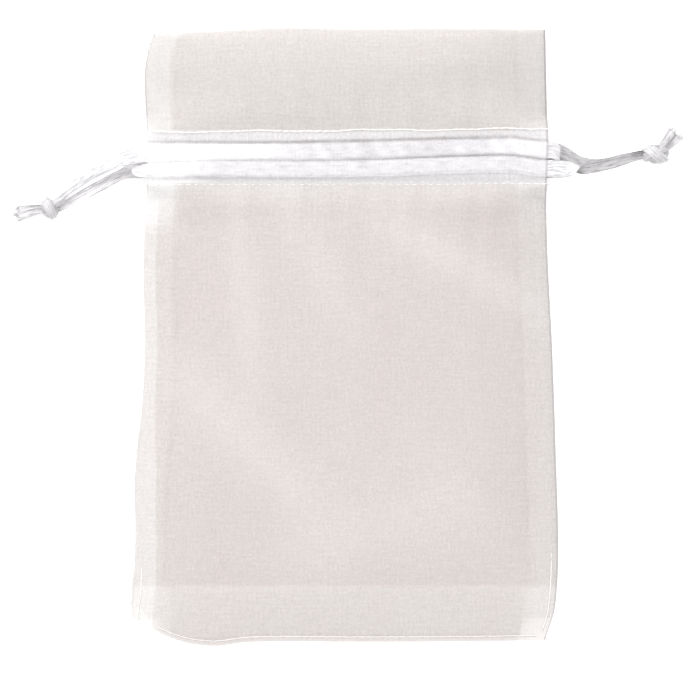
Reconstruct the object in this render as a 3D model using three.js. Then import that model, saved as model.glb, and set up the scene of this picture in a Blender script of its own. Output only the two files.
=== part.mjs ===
// Drawstring gift pouch in sheer organza, laid flat with its mouth towards +Y.
// Units are millimetres and +Z is up. The origin is under the middle of the pouch, on the
// surface it lies on, so X runs across the pouch, Y along it, and the back panel lies at Z = 0.
//
// Two cloth panels are sewn together at both sides and at the bottom. Each panel is folded in at
// the mouth, so the header and the ribbon casing under it are double. A ribbon loops through the
// front and back casings from each side, leaves by the slit in the side seam and is knotted.
// The panels stand a little apart, as stiff organza does, so the inside and the mouth are open.
import * as THREE from 'three';

// ---- Driving dimensions ----
const POUCH_LENGTH = 152;
const MOUTH_WIDTH = 99.4;
const BOTTOM_WIDTH = 105;
const HEADER_HEIGHT = 25.5;
const CASING_HEIGHT = 12.9;
const CLOTH = 0.5;
const GAP = 0.3;
const THREAD = 0.6;
const SEAM_ALLOWANCE = 7;
const BOTTOM_ALLOWANCE = 12;
const MOUTH_GAP = 5.2;
const SEAM_LIFT = 1.6;
const RIBBON_WIDTH = 4.2;
const RIBBON_THICKNESS = 0.4;

// ---- Lines across the pouch, from the mouth down ----
const MOUTH_Y = POUCH_LENGTH / 2;
const BOTTOM_Y = -POUCH_LENGTH / 2;
const UPPER_STITCH_Y = MOUTH_Y - HEADER_HEIGHT;
const LOWER_STITCH_Y = UPPER_STITCH_Y - CASING_HEIGHT;
const STITCH_CLEARANCE = THREAD / 2 + GAP;

// ---- Heights of the layers, from the surface up ----
const BACK_FACING_Z = CLOTH + GAP + RIBBON_THICKNESS + GAP;
const FRONT_FACING_Z = BACK_FACING_Z + CLOTH + MOUTH_GAP;
const FRONT_CASING_Z = FRONT_FACING_Z + CLOTH + GAP + RIBBON_THICKNESS + GAP;
const ALLOWANCE_Z = CLOTH + GAP;
const FOLD_PITCH = CLOTH + GAP;

// ---- Outline: the sides flare a little to the bottom, where the turned corners are blunt ----
const CORNER_HEIGHT = 9;
const CORNER_CUT = 7;

function halfWidth(y) {
  const down = (MOUTH_Y - y) / POUCH_LENGTH;
  const side = THREE.MathUtils.lerp(MOUTH_WIDTH, BOTTOM_WIDTH, down) / 2;
  const intoCorner = Math.max(0, 1 - (y - BOTTOM_Y) / CORNER_HEIGHT);
  return side - CORNER_CUT * intoCorner ** 2;
}

// Height of the front cloth's underside. It is level over the middle, comes down to the side
// seams and the bottom seam, and stays up further out beside the slits, where no seam holds it.
const SIDE_ROUNDNESS = 4;
const SLIT_ROUNDNESS = 12;
const SLIT_REACH = 12;
const BOTTOM_ROUNDNESS = 6;

function frontUnderside(x, y) {
  const fromCasing = Math.max(0, y - UPPER_STITCH_Y, LOWER_STITCH_Y - y);
  const nearSlit = Math.max(0, 1 - fromCasing / SLIT_REACH);
  const roundness = THREE.MathUtils.lerp(SIDE_ROUNDNESS, SLIT_ROUNDNESS, nearSlit ** 2);
  const across = Math.min(1, Math.abs(x) / halfWidth(y));
  const down = THREE.MathUtils.clamp((LOWER_STITCH_Y - y) / (LOWER_STITCH_Y - BOTTOM_Y), 0, 1);
  const rise = (1 - across ** roundness) * (1 - down ** BOTTOM_ROUNDNESS);
  return SEAM_LIFT + (FRONT_CASING_Z - SEAM_LIFT) * rise;
}

// ---- Materials ----
const organza = new THREE.MeshStandardMaterial({ color: 0xe4dcd9, roughness: 0.55, metalness: 0 });
const organzaFolded = new THREE.MeshStandardMaterial({ color: 0xeeeae6, roughness: 0.55, metalness: 0 });
const satin = new THREE.MeshStandardMaterial({ color: 0xfafafc, roughness: 0.3, metalness: 0 });
const sewingThread = new THREE.MeshStandardMaterial({ color: 0xfbf8f1, roughness: 0.6, metalness: 0 });

// ---- Builders ----
const pouch = new THREE.Group();

function addPiece(name, geometry, material) {
  const mesh = new THREE.Mesh(geometry, material);
  mesh.name = name;
  pouch.add(mesh);
  return mesh;
}

// Moves every corner of a box of unit cells with place(u, v, w): u runs -1 to 1 across the
// cloth, v 0 to 1 along it, and w 0 to 1 through its thickness.
function shapedSheet(acrossCells, alongCells, place) {
  const geometry = new THREE.BoxGeometry(2, 1, 1, acrossCells, alongCells, 1);
  const corners = geometry.attributes.position;
  for (let i = 0; i < corners.count; i += 1) {
    const [x, y, z] = place(corners.getX(i), corners.getY(i) + 0.5, corners.getZ(i) + 0.5);
    corners.setXYZ(i, x, y, z);
  }
  geometry.computeVertexNormals();
  return geometry;
}

// A cloth or thread strip between two edge lines, with its underside at the given height.
function strip({ fromY, toY, leftEdge, rightEdge, underside, thickness = CLOTH, cells = [1, 1] }) {
  return shapedSheet(cells[0], cells[1], (u, v, w) => {
    const y = THREE.MathUtils.lerp(fromY, toY, v);
    const x = THREE.MathUtils.lerp(leftEdge(y), rightEdge(y), (u + 1) / 2);
    return [x, y, underside(x, y) + w * thickness];
  });
}

const atHeight = (z) => () => z;
const leftSide = (inset) => (y) => inset - halfWidth(y);
const rightSide = (inset) => (y) => halfWidth(y) - inset;

// ---- Panels: back flat on the surface, front arched over the inside ----
const PANEL_CELLS = [20, 18];
const BACK_CELLS = [2, 14];

addPiece('back_panel', strip({
  fromY: BOTTOM_Y,
  toY: LOWER_STITCH_Y - STITCH_CLEARANCE,
  leftEdge: leftSide(0),
  rightEdge: rightSide(0),
  underside: atHeight(0),
  cells: BACK_CELLS,
}), organza);

addPiece('front_panel', strip({
  fromY: BOTTOM_Y,
  toY: LOWER_STITCH_Y - STITCH_CLEARANCE,
  leftEdge: leftSide(0),
  rightEdge: rightSide(0),
  underside: frontUnderside,
  cells: PANEL_CELLS,
}), organza);

// ---- Headers: one piece of cloth folded over at the mouth, outer and inner layer ----
// The inner layer stops beside the seam allowances.
const HEADER_INNER_INSET = SEAM_ALLOWANCE + 2;
const FOLD_STEPS = 4;
const HEADER_ROWS = 5;
const HEADER_CELLS_ACROSS = 18;

// Stations along the folded cloth: y, depth below the outer layer, and which way its outside faces.
function headerStations() {
  const lowY = UPPER_STITCH_Y + STITCH_CLEARANCE;
  const foldY = MOUTH_Y - (FOLD_PITCH + CLOTH) / 2;
  const stations = [];
  for (let row = 0; row < HEADER_ROWS; row += 1) {
    stations.push({ y: THREE.MathUtils.lerp(lowY, foldY, row / HEADER_ROWS), turn: 0 });
  }
  for (let step = 0; step <= FOLD_STEPS; step += 1) {
    stations.push({ y: foldY, turn: (Math.PI * step) / FOLD_STEPS });
  }
  for (let row = HEADER_ROWS - 1; row >= 0; row -= 1) {
    stations.push({ y: THREE.MathUtils.lerp(lowY, foldY, row / HEADER_ROWS), turn: Math.PI });
  }
  return stations;
}

// outward is 1 where the outer layer is the upper one, as on the front, and -1 on the back.
function foldedHeader(outerMiddleZ, outward) {
  const stations = headerStations();
  const radius = FOLD_PITCH / 2;
  return shapedSheet(HEADER_CELLS_ACROSS, stations.length - 1, (u, v, w) => {
    const { y: baseY, turn } = stations[Math.round(v * (stations.length - 1))];
    const side = outward > 0 ? w - 0.5 : 0.5 - w;
    const reach = radius + side * CLOTH;
    const y = baseY + Math.sin(turn) * reach;
    const inset = HEADER_INNER_INSET * (1 - Math.cos(turn)) / 2;
    const x = u * (halfWidth(y) - inset);
    return [x, y, outerMiddleZ(x, y) + outward * (Math.cos(turn) * reach - radius)];
  });
}

addPiece('back_header', foldedHeader(atHeight(CLOTH / 2), -1), organzaFolded);
addPiece('front_header', foldedHeader((x, y) => frontUnderside(x, y) + CLOTH / 2, 1), organzaFolded);

// ---- Casings: outer cloth and turned-in facing, with the ribbons between them ----
const CASING_SIDE_INSET = 0.3;
const CASING_CELLS = [12, 1];

const casingLayers = [
  ['back_casing', 0],
  ['back_casing_facing', BACK_FACING_Z],
  ['front_casing_facing', FRONT_FACING_Z],
  ['front_casing', FRONT_CASING_Z],
];

for (const [name, height] of casingLayers) {
  addPiece(name, strip({
    fromY: LOWER_STITCH_Y + STITCH_CLEARANCE,
    toY: UPPER_STITCH_Y - STITCH_CLEARANCE,
    leftEdge: leftSide(CASING_SIDE_INSET),
    rightEdge: rightSide(CASING_SIDE_INSET),
    underside: atHeight(height),
    cells: CASING_CELLS,
  }), organzaFolded);
}

// ---- Stitching along the casings ----
const STITCH_CELLS = [20, 1];
const STITCH_SIDE_INSET = 1;

const stitchLines = [
  ['upper_stitching', UPPER_STITCH_Y],
  ['lower_stitching', LOWER_STITCH_Y],
];

for (const [name, y] of stitchLines) {
  const line = {
    fromY: y - THREAD / 2,
    toY: y + THREAD / 2,
    leftEdge: leftSide(STITCH_SIDE_INSET),
    rightEdge: rightSide(STITCH_SIDE_INSET),
    cells: STITCH_CELLS,
  };
  addPiece(`back_${name}`, strip({ ...line, underside: atHeight(0) }), sewingThread);
  addPiece(`front_${name}`, strip({ ...line, underside: frontUnderside }), sewingThread);
}

// ---- Side seams: turned-in allowance and its stitching, above and below each slit ----
const SEAM_STITCH_INSET = 0.8;
const ALLOWANCE_INSET = SEAM_STITCH_INSET + THREAD + GAP;
const SEAM_ROWS = 10;

const seamRuns = [
  ['header', UPPER_STITCH_Y + STITCH_CLEARANCE, MOUTH_Y - FOLD_PITCH - CLOTH],
  ['body', BOTTOM_Y + CORNER_HEIGHT, LOWER_STITCH_Y - STITCH_CLEARANCE],
];

for (const [part, fromY, toY] of seamRuns) {
  const run = { fromY, toY, underside: atHeight(ALLOWANCE_Z), cells: [1, SEAM_ROWS] };
  const allowanceEnd = ALLOWANCE_INSET + SEAM_ALLOWANCE - GAP;
  const threadEnd = SEAM_STITCH_INSET + THREAD;
  addPiece(`left_${part}_allowance`, strip({
    ...run, leftEdge: leftSide(ALLOWANCE_INSET), rightEdge: leftSide(allowanceEnd),
  }), organzaFolded);
  addPiece(`right_${part}_allowance`, strip({
    ...run, leftEdge: rightSide(allowanceEnd), rightEdge: rightSide(ALLOWANCE_INSET),
  }), organzaFolded);
  addPiece(`left_${part}_seam_stitching`, strip({
    ...run, leftEdge: leftSide(SEAM_STITCH_INSET), rightEdge: leftSide(threadEnd),
  }), sewingThread);
  addPiece(`right_${part}_seam_stitching`, strip({
    ...run, leftEdge: rightSide(threadEnd), rightEdge: rightSide(SEAM_STITCH_INSET),
  }), sewingThread);
}

// ---- Bottom seam: its allowance lies between the two side allowances ----
const BOTTOM_STITCH_Y = BOTTOM_Y + 1.2;
const BOTTOM_SEAM_INSET = ALLOWANCE_INSET + SEAM_ALLOWANCE + GAP;
const BOTTOM_CELLS = [12, 1];

const bottomSeam = {
  leftEdge: () => BOTTOM_SEAM_INSET - BOTTOM_WIDTH / 2,
  rightEdge: () => BOTTOM_WIDTH / 2 - BOTTOM_SEAM_INSET,
  underside: atHeight(ALLOWANCE_Z),
  cells: BOTTOM_CELLS,
};

addPiece('bottom_seam_stitching', strip({
  ...bottomSeam,
  fromY: BOTTOM_STITCH_Y - THREAD / 2,
  toY: BOTTOM_STITCH_Y + THREAD / 2,
}), sewingThread);

addPiece('bottom_allowance', strip({
  ...bottomSeam,
  fromY: BOTTOM_STITCH_Y + STITCH_CLEARANCE,
  toY: BOTTOM_STITCH_Y + STITCH_CLEARANCE + BOTTOM_ALLOWANCE,
}), organzaFolded);

// ---- Ribbons ----
// Each ribbon starts at its knot, runs through the front casing, turns round the far slit while it
// changes lane, and comes back through the back casing to the knot. Both runs are level and
// straight, so a ribbon slides along X without leaving its channel.
const LEFT_ROUTE = [
  [-70.9, 33.8, 2.7], [-68.4, 36.2, 2.8], [-64.5, 39.2, 3.4], [-58.5, 42.6, 5.2],
  [-54.5, 44.6, 6.9], [-51.0, 45.5, 8.0], [-47.5, 45.65, 8.2], [-40.0, 45.65, 8.2],
  [-20.0, 45.65, 8.2], [0.0, 45.65, 8.2], [20.0, 45.65, 8.2], [40.0, 45.65, 8.2],
  [49.2, 45.65, 8.2], [51.0, 45.65, 7.72], [52.3, 44.9, 6.4], [52.8, 43.4, 4.6],
  [52.3, 41.9, 2.8], [51.0, 41.15, 1.48], [49.2, 41.15, 1.0], [40.0, 41.15, 1.0],
  [20.0, 41.15, 1.0], [0.0, 41.15, 1.0], [-20.0, 41.15, 1.0], [-40.0, 41.15, 1.0],
  [-49.5, 41.15, 1.0], [-53.5, 40.7, 0.9], [-57.0, 39.3, 0.8], [-61.0, 37.1, 0.7],
  [-66.8, 33.9, 0.8], [-70.6, 31.9, 1.0],
];

const RIGHT_ROUTE = [
  [73.0, 44.5, 2.8], [69.5, 43.7, 2.9], [65.5, 42.6, 3.3], [61.0, 41.5, 4.2],
  [57.0, 40.9, 5.6], [53.5, 40.95, 7.2], [50.5, 41.1, 8.05], [47.0, 41.15, 8.2],
  [40.0, 41.15, 8.2], [20.0, 41.15, 8.2], [0.0, 41.15, 8.2], [-20.0, 41.15, 8.2],
  [-40.0, 41.15, 8.2], [-49.2, 41.15, 8.2], [-51.0, 41.15, 7.72], [-52.3, 41.9, 6.4],
  [-52.8, 43.4, 4.6], [-52.3, 44.9, 2.8], [-51.0, 45.65, 1.48], [-49.2, 45.65, 1.0],
  [-40.0, 45.65, 1.0], [-20.0, 45.65, 1.0], [0.0, 45.65, 1.0], [20.0, 45.65, 1.0],
  [40.0, 45.65, 1.0], [49.5, 45.65, 1.0], [52.5, 45.5, 1.0], [55.5, 44.5, 0.9],
  [58.5, 43.1, 0.8], [62.0, 42.4, 0.8], [66.0, 43.0, 0.8], [70.0, 44.1, 0.9],
  [73.0, 44.9, 1.0],
];

const STEPS_PER_POINT = 2;

// A flat band along a route. Its width stays as near to the Y direction as the route allows.
function bandAlong(route, stepsPerPoint = STEPS_PER_POINT) {
  const curve = new THREE.CatmullRomCurve3(route.map((point) => new THREE.Vector3(...point)));
  const steps = (route.length - 1) * stepsPerPoint;
  const widthways = new THREE.Vector3(0, 1, 0);
  return shapedSheet(1, steps, (u, v, w) => {
    const centre = curve.getPoint(v);
    const along = curve.getTangent(v);
    const side = widthways.clone().addScaledVector(along, -along.dot(widthways)).normalize();
    const face = side.clone().cross(along);
    centre.addScaledVector(side, (u * RIBBON_WIDTH) / 2);
    centre.addScaledVector(face, (w - 0.5) * RIBBON_THICKNESS);
    return centre.toArray();
  });
}

// ---- Knots and the two cut ends that stick out of each ----
const KNOT_SEGMENTS = [14, 10];

// An overhand knot pulled tight in two thicknesses of ribbon: a lumpy egg.
function knot(centre, size) {
  const geometry = new THREE.SphereGeometry(0.5, ...KNOT_SEGMENTS);
  const corners = geometry.attributes.position;
  const point = new THREE.Vector3();
  for (let i = 0; i < corners.count; i += 1) {
    point.fromBufferAttribute(corners, i);
    const lump = 1 - 0.1 * Math.cos(3 * Math.atan2(point.y, point.x)) * (1 - 4 * point.z ** 2);
    corners.setXYZ(i, point.x * lump * size[0], point.y * lump * size[1], point.z * size[2]);
  }
  geometry.translate(...centre);
  geometry.computeVertexNormals();
  return geometry;
}

const drawstrings = [
  {
    side: 'left',
    route: LEFT_ROUTE,
    knotCentre: [-73.4, 31.5, 2.2],
    knotSize: [4.2, 5.6, 4.3],
    tails: {
      lower: [[-76.0, 31.6, 1.2], [-79.0, 31.2, 0.7], [-82.2, 30.9, 0.5]],
      upper: [[-76.0, 31.0, 2.6], [-79.0, 30.2, 2.0], [-81.8, 29.6, 1.6]],
    },
  },
  {
    side: 'right',
    route: RIGHT_ROUTE,
    knotCentre: [76.6, 44.9, 2.2],
    knotSize: [6.2, 4.8, 4.3],
    tails: {
      lower: [[79.6, 47.2, 1.2], [81.2, 48.6, 0.7], [82.9, 49.8, 0.5]],
      upper: [[78.9, 47.6, 2.7], [79.9, 49.2, 2.1], [80.9, 51.1, 1.7]],
    },
  },
];

for (const { side, route, knotCentre, knotSize, tails } of drawstrings) {
  addPiece(`${side}_ribbon`, bandAlong(route), satin);
  addPiece(`${side}_knot`, knot(knotCentre, knotSize), satin);
  addPiece(`${side}_lower_tail`, bandAlong(tails.lower), satin);
  addPiece(`${side}_upper_tail`, bandAlong(tails.upper), satin);
}

export default pouch;
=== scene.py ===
# %% [markdown]
# # A drawstring gift pouch in white organza
#
# The pouch is two layers of sheer organza sewn at the sides and bottom. Above two rows
# of stitching the cloth is folded double for a header, and between the rows it makes a
# casing for two satin ribbons, one pulled to each side. Every length below is in
# millimetres until a mesh is made, because a maker measures cloth that way.

# %% Load the fixed frame
import math
import random

import bpy
from mathutils import Matrix, Vector


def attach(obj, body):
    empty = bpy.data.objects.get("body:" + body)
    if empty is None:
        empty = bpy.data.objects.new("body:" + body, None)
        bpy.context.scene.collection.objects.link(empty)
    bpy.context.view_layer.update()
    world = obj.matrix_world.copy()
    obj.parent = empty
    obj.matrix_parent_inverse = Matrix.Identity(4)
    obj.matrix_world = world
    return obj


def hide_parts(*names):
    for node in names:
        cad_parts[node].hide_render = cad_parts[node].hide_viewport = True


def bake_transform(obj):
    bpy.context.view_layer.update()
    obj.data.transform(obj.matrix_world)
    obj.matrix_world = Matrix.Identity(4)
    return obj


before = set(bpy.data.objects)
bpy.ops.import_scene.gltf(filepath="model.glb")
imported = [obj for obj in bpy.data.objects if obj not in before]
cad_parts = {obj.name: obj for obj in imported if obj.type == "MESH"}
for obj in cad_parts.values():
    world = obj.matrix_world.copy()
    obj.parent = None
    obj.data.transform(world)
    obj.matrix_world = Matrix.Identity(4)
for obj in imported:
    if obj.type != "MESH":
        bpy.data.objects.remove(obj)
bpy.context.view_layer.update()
MM = 0.001

# %% [markdown]
# ## Camera, light and floor
#
# The pouch lies flat and is seen from straight above, so the camera looks down with the
# mouth of the pouch at the top of the picture. A large soft light and a pale surround
# give the even light of a product table, with a slight fall-off from the upper left that
# lets the folds read.

# %% Camera
VIEW_WIDTH = 173.6
LENS, SENSOR = 300.0, 36.0
camera = bpy.data.objects.new("camera", bpy.data.cameras.new("camera"))
bpy.context.scene.collection.objects.link(camera)
camera.data.lens, camera.data.sensor_width = LENS, SENSOR
camera.data.clip_start, camera.data.clip_end = 0.01, 10.0
camera.location = (1.0 * MM, -3.6 * MM, VIEW_WIDTH * LENS / SENSOR * MM)
bpy.context.scene.camera = camera
print("camera height", round(camera.location.z, 4), "m")


# %% Light and floor
SURROUND, SOFTBOX_WATTS = 1.05, 26.0
softbox = bpy.data.objects.new("softbox", bpy.data.lights.new("softbox", "AREA"))
bpy.context.scene.collection.objects.link(softbox)
softbox.data.shape, softbox.data.size, softbox.data.energy = "SQUARE", 0.8, SOFTBOX_WATTS
softbox.location = (-0.50, 0.85, 1.60)
softbox.rotation_euler = (-softbox.location).to_track_quat("-Z", "Y").to_euler()
world = bpy.data.worlds.new("studio")
bpy.context.scene.world = world
world.use_nodes = True
world.node_tree.nodes["Background"].inputs["Color"].default_value = (1, 1, 1, 1)
world.node_tree.nodes["Background"].inputs["Strength"].default_value = SURROUND
bpy.context.scene.view_settings.view_transform = "Standard"

bpy.ops.object.select_all(action="DESELECT")
bpy.ops.mesh.primitive_plane_add(size=3.0, location=(0, 0, 0))
floor = bpy.context.object
floor.name = "table_top"
print("floor", floor.dimensions[:])


# %% [markdown]
# ## Node helpers
#
# A material is a small net of nodes. These helpers add a node with its settings and
# join sockets, so that each finish below reads as a recipe.


# %% Node helpers
def new_node(tree, kind, inputs=None, **settings):
    node = tree.nodes.new(kind)
    for key, value in settings.items():
        setattr(node, key, value)
    for key, value in (inputs or {}).items():
        if isinstance(value, bpy.types.NodeSocket):
            tree.links.new(value, node.inputs[key])
        else:
            node.inputs[key].default_value = value
    return node


def maths(tree, operation, *values, clamp=False):
    node = new_node(tree, "ShaderNodeMath", dict(enumerate(values)), operation=operation,
                    use_clamp=clamp)
    return node.outputs[0]


def new_group(name, inputs, outputs):
    """A group that takes a place on the cloth and some numbers, and gives out numbers."""
    tree = bpy.data.node_groups.new(name, "ShaderNodeTree")
    tree.interface.new_socket("Place", in_out="INPUT", socket_type="NodeSocketVector")
    for label in inputs:
        tree.interface.new_socket(label, in_out="INPUT", socket_type="NodeSocketFloat")
    for label in outputs:
        tree.interface.new_socket(label, in_out="OUTPUT", socket_type="NodeSocketFloat")
    return tree, tree.nodes.new("NodeGroupInput"), tree.nodes.new("NodeGroupOutput")


def mix_colours(tree, factor, first, second):
    node = new_node(tree, "ShaderNodeMix", data_type="RGBA")
    tree.links.new(factor, node.inputs["Factor"])
    for name, value in (("A", first), ("B", second)):
        socket = [s for s in node.inputs if s.name == name and s.type == "RGBA"][0]
        if isinstance(value, bpy.types.NodeSocket):
            tree.links.new(value, socket)
        else:
            socket.default_value = (*value, 1)
    return [s for s in node.outputs if s.type == "RGBA"][0]


def new_material(name, values=None):
    """A material, its node tree and its shader, with some of the shader's values set."""
    made = bpy.data.materials.new(name)
    made.use_nodes = True
    shader = made.node_tree.nodes["Principled BSDF"]
    for key, value in (values or {}).items():
        shader.inputs[key].default_value = value
    return made, made.node_tree, shader


def add_bump(tree, shader, height, strength):
    bump = new_node(tree, "ShaderNodeBump",
                    {"Height": height, "Strength": strength, "Distance": 0.0001})
    tree.links.new(bump.outputs[0], shader.inputs["Normal"])


# %% [markdown]
# ## Organza
#
# Organza is a crisp plain weave of very fine, hard-twisted yarn. What the eye sees is how
# much of each small patch is yarn and how much is hole, which drifts as the yarns wander, so
# the weave group gives a cover value for Alpha as well as a height for the bump and a broad
# tone for the lustre, a drift of colour stretched into slanting bands that paints soft sheen.
# It reads a flat map of the cloth in millimetres, so the pattern stays on the cloth when the
# neck is drawn in.

# %% The weave group
weave, weave_in, weave_out = new_group(
    "organza_weave", ["Cover", "Weave", "Slub", "Yarns"],
    ["Cover", "Height", "Tone", "Fleck"])
place = weave_in.outputs["Place"]
wander = new_node(weave, "ShaderNodeTexNoise",
                  {"Vector": place, "Scale": 0.055, "Detail": 2.0, "Roughness": 0.5})
parts = new_node(weave, "ShaderNodeSeparateXYZ", {"Vector": place})
sway = new_node(weave, "ShaderNodeSeparateColor", {"Color": wander.outputs["Color"]})
warp = maths(weave, "MULTIPLY_ADD", sway.outputs[0], 3.0, parts.outputs[0])
weft = maths(weave, "MULTIPLY_ADD", sway.outputs[1], 3.0, parts.outputs[1])
warp_wave = maths(weave, "SINE", maths(weave, "MULTIPLY", warp, weave_in.outputs["Yarns"]))
weft_wave = maths(weave, "SINE", maths(weave, "MULTIPLY", weft, weave_in.outputs["Yarns"]))
crossing = maths(weave, "MULTIPLY", maths(weave, "ADD", warp_wave, weft_wave), 0.5)


def slub_noise(stretch, scale):
    mapping = new_node(weave, "ShaderNodeMapping", {"Vector": place, "Scale": stretch})
    noise = new_node(weave, "ShaderNodeTexNoise",
                     {"Vector": mapping.outputs[0], "Scale": scale, "Detail": 3.0,
                      "Roughness": 0.65})
    return noise.outputs[0]


slub_warp = slub_noise((1.0, 0.16, 1.0), 1.5)
slub_weft = slub_noise((0.12, 1.0, 1.0), 1.5)
fleck = slub_noise((1.0, 0.8, 1.0), 1.7)
slub = maths(weave, "ADD", maths(weave, "MULTIPLY_ADD", slub_warp, 0.9, -0.9),
             maths(weave, "MULTIPLY_ADD", slub_weft, 0.9, 0.0))
slub = maths(weave, "ADD", slub, maths(weave, "MULTIPLY_ADD", fleck, 1.6, -0.8))
cover = maths(weave, "ADD", weave_in.outputs["Cover"],
              maths(weave, "MULTIPLY", crossing, weave_in.outputs["Weave"]))
cover = maths(weave, "ADD", cover,
              maths(weave, "MULTIPLY", slub, weave_in.outputs["Slub"]), clamp=True)
# The tone drifts between two tints of the cloth and, stretched and turned, paints slanting
# bands of sheen.
tone_map = new_node(weave, "ShaderNodeMapping",
                    {"Vector": place, "Rotation": (0, 0, 0.6), "Scale": (1.0, 0.42, 1.0)})
tone_noise = new_node(weave, "ShaderNodeTexNoise",
                      {"Vector": tone_map.outputs[0], "Scale": 0.05, "Detail": 2.5,
                       "Roughness": 0.5, "Distortion": 0.5})
tone = new_node(weave, "ShaderNodeMapRange",
                {"Value": tone_noise.outputs[0], "From Min": 0.36, "From Max": 0.64})
weave.links.new(cover, weave_out.inputs["Cover"])
weave.links.new(maths(weave, "ADD", crossing, slub), weave_out.inputs["Height"])
weave.links.new(tone.outputs[0], weave_out.inputs["Tone"])
weave.links.new(maths(weave, "MULTIPLY_ADD", slub, 0.5, 0.5, clamp=True),
                weave_out.inputs["Fleck"])
print("weave group has", len(weave.nodes), "nodes")


# %% Organza material
YARN_WAVES = 21.0  # radians of the yarn wave in a millimetre


def organza(name, warm, cool, cover, weave_depth, slub_depth, pale=None, painted_shade=None,
            fleck_shade=0.86):
    """Sheer cloth whose holes follow the weave. warm and cool are the two ends of its lustre,
    a drift of colour that also paints broad soft bands of sheen. pale, if given, is its
    colour where layers lie together, and painted light and sheen where folds or the ribbons
    beneath catch the light. The last colour, if given, is painted shade, where the cloth
    sinks beside the ribbons or turns at a rolled edge and the light is kept out."""
    made, tree, shader = new_material(name, {"Sheen Weight": 0.15,
                                             "Specular IOR Level": 0.35})
    cloth_map = new_node(tree, "ShaderNodeUVMap", uv_map="cloth")
    group = new_node(tree, "ShaderNodeGroup", node_tree=weave)
    tree.links.new(cloth_map.outputs[0], group.inputs["Place"])
    for key, value in (("Cover", cover), ("Weave", weave_depth), ("Slub", slub_depth),
                       ("Yarns", YARN_WAVES)):
        group.inputs[key].default_value = value
    lustre = mix_colours(tree, group.outputs["Tone"], warm, cool)
    dark = tuple(c * fleck_shade for c in warm)
    flecks = new_node(tree, "ShaderNodeMapRange",
                      {"Value": group.outputs["Fleck"], "From Min": 0.2, "From Max": 0.8})
    colour = mix_colours(tree, flecks.outputs[0], dark, lustre)
    if pale:
        # The pale attribute lightens layered cloth and paints light and sheen.
        lit = new_node(tree, "ShaderNodeAttribute", attribute_name="pale")
        colour = mix_colours(tree, lit.outputs["Fac"], colour, pale)
    if painted_shade:
        # Painted shade: this attribute darkens the colour beside the ribbons and at rolled
        # edges.
        depth = new_node(tree, "ShaderNodeAttribute", attribute_name="painted_shade")
        colour = mix_colours(tree, depth.outputs["Fac"], colour, painted_shade)
    tree.links.new(colour, shader.inputs["Base Color"])
    tree.links.new(group.outputs["Cover"], shader.inputs["Alpha"])
    rough = maths(tree, "MULTIPLY_ADD", group.outputs["Fleck"], -0.15, 0.62)
    tree.links.new(rough, shader.inputs["Roughness"])
    add_bump(tree, shader, group.outputs["Height"], 0.25)
    return made


# The first colour is the pale tone of layers and painted sheen, the second the colour of
# painted shade.
PALE_AND_SHEEN_COLOUR, PAINTED_SHADE_COLOUR = (0.80, 0.79, 0.785), (0.33, 0.31, 0.31)
sheer = organza("sheer organza", (0.582, 0.525, 0.503), (0.592, 0.552, 0.528), 0.62, 0.10,
                0.19, PALE_AND_SHEEN_COLOUR, PAINTED_SHADE_COLOUR, 0.82)
doubled = organza("doubled organza", (0.648, 0.612, 0.592), (0.662, 0.627, 0.608),
                  0.50, 0.08, 0.13, PALE_AND_SHEEN_COLOUR, PAINTED_SHADE_COLOUR)
# The casing cloth is whiter than the doubled cloth and its pale colour is near white: painted
# light where the ribbons inside show through.
casing_cloth = organza("casing organza", (0.63, 0.61, 0.625), (0.67, 0.645, 0.66),
                       0.47, 0.06, 0.16, (0.93, 0.92, 0.93), PAINTED_SHADE_COLOUR, 0.74)
pressed = organza("pressed seam organza", (0.83, 0.81, 0.795), (0.85, 0.83, 0.815),
                  0.72, 0.05, 0.12)
print("organza finishes", sheer.name, doubled.name, casing_cloth.name, pressed.name)


# %% [markdown]
# ## Satin ribbon and sewing thread
#
# Satin floats its yarns along one face, so that face is bright and smooth with fine
# lengthwise lines, and the other face is a dull, ribbed grey-white. The two faces get their
# own materials on one thin band. The left ribbon's dull face lies towards the light, so it
# gets a lit copy of the back with painted light in its colour, and the knots and tails get a
# darker copy of the face, painted shade for the bunched ribbon. The sewing thread is a
# tightly twisted yarn.

# %% The satin group
satin, satin_in, satin_out = new_group("satin_grain", ["Lines", "Ribs"],
                                       ["Height", "Tone"])
satin_parts = new_node(satin, "ShaderNodeSeparateXYZ", {"Vector": satin_in.outputs["Place"]})
line_wave = maths(satin, "SINE", maths(satin, "MULTIPLY", satin_parts.outputs[1], 17.0))
rib_wave = maths(satin, "SINE", maths(satin, "MULTIPLY", satin_parts.outputs[0], 9.5))
satin_stretch = new_node(satin, "ShaderNodeMapping",
                         {"Vector": satin_in.outputs["Place"], "Scale": (0.30, 2.6, 1.0)})
satin_noise = new_node(satin, "ShaderNodeTexNoise",
                       {"Vector": satin_stretch.outputs[0], "Scale": 1.0, "Detail": 3.0,
                        "Roughness": 0.6, "Distortion": 0.6})
satin_lines = maths(satin, "MULTIPLY", line_wave, satin_in.outputs["Lines"])
satin_net = maths(satin, "MULTIPLY", maths(satin, "MULTIPLY", rib_wave, line_wave),
                  satin_in.outputs["Ribs"])
satin_height = maths(satin, "ADD", satin_lines, satin_net)
satin.links.new(maths(satin, "ADD", satin_height, satin_noise.outputs[0]),
                satin_out.inputs["Height"])
satin_broad = new_node(satin, "ShaderNodeMapRange",
                       {"Value": satin_noise.outputs[0], "From Min": 0.34, "From Max": 0.56})
satin_tone = maths(satin, "MULTIPLY_ADD", satin_height, 0.5, satin_broad.outputs[0])
satin.links.new(maths(satin, "ADD", satin_tone, 0.0, clamp=True), satin_out.inputs["Tone"])
print("satin group has", len(satin.nodes), "nodes")


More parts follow.
